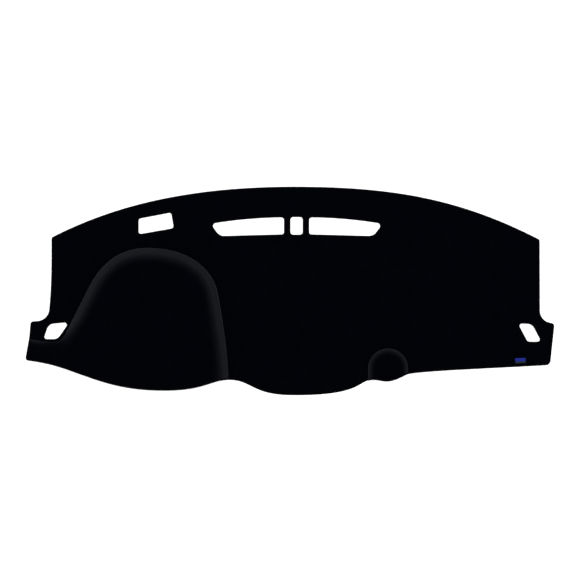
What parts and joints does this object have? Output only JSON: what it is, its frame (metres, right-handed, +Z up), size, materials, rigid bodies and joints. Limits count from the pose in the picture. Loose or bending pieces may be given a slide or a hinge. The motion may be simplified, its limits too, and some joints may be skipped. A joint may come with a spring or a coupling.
{
  "type": "dashboard cover mat",
  "caption": "Soft pile cloth mat cut to a car dashboard's plan, with a raised instrument hood, a small dome and vent cut-outs.",
  "frame": {"origin": "on the surface that the mat lies on, under the middle of its outline", "axes": "+X along the dashboard to the passenger's side, +Y towards the windscreen, +Z up"},
  "size_m": [1.4272, 0.563, 0.049],
  "materials": {
    "pile_cloth": "short black pile",
    "edging_thread": "overlocked thread",
    "woven_label": "satin weave"
  },
  "bodies": {
    "root": {"main_panel": "pile_cloth", "hood_panel": "pile_cloth", "dome_panel": "pile_cloth", "outside_edging": "edging_thread", "defroster_left_edging": "edging_thread", "defroster_right_edging": "edging_thread", "centre_vent_edging": "edging_thread", "driver_opening_edging": "edging_thread", "demister_left_edging": "edging_thread", "demister_right_edging": "edging_thread", "woven_label": "woven_label"}
  },
  "joints": []
}
